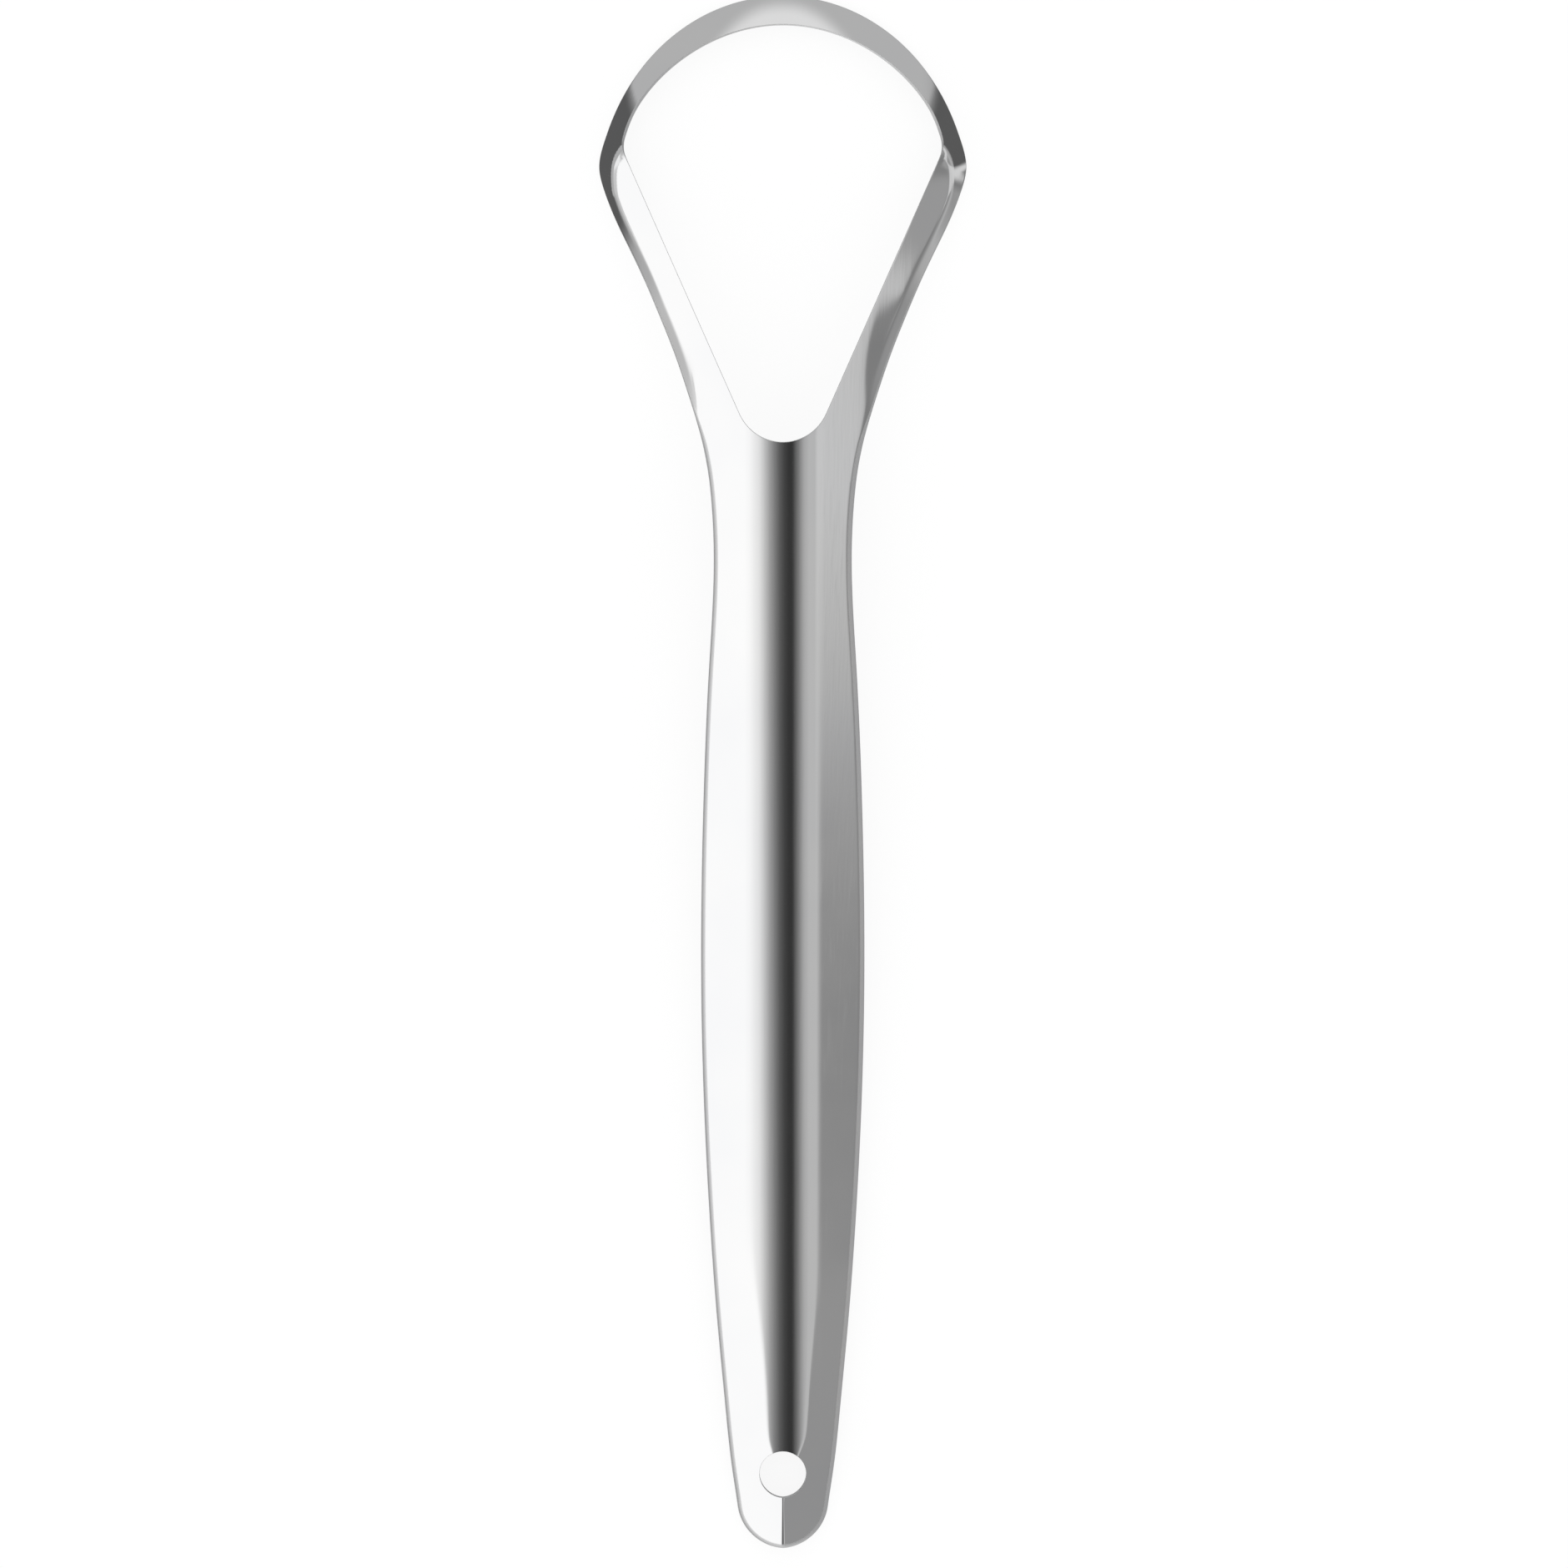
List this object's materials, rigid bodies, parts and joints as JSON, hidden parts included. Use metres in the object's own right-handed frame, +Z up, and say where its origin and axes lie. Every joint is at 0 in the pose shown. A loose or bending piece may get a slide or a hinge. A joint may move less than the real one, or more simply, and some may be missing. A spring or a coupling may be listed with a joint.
{
  "type": "tongue scraper",
  "caption": "Tongue scraper pressed from polished stainless steel sheet: a ridged handle with a hanging hole, splaying into an open loop whose arched front is the scraping edge.",
  "frame": {"origin": "middle of the part's foot on the table: centre of its box in X and Y, lowest point in Z", "axes": "+Y along the handle toward the scraping head, +Z up with the part lying ridge up, +X to the right"},
  "size_m": [0.0356, 0.1504, 0.0097],
  "materials": {
    "polished_steel": "mirror-polished stainless steel"
  },
  "bodies": {
    "root": {"handle": "polished_steel", "right_arm": "polished_steel", "left_arm": "polished_steel", "scraping_arch": "polished_steel"}
  },
  "joints": []
}
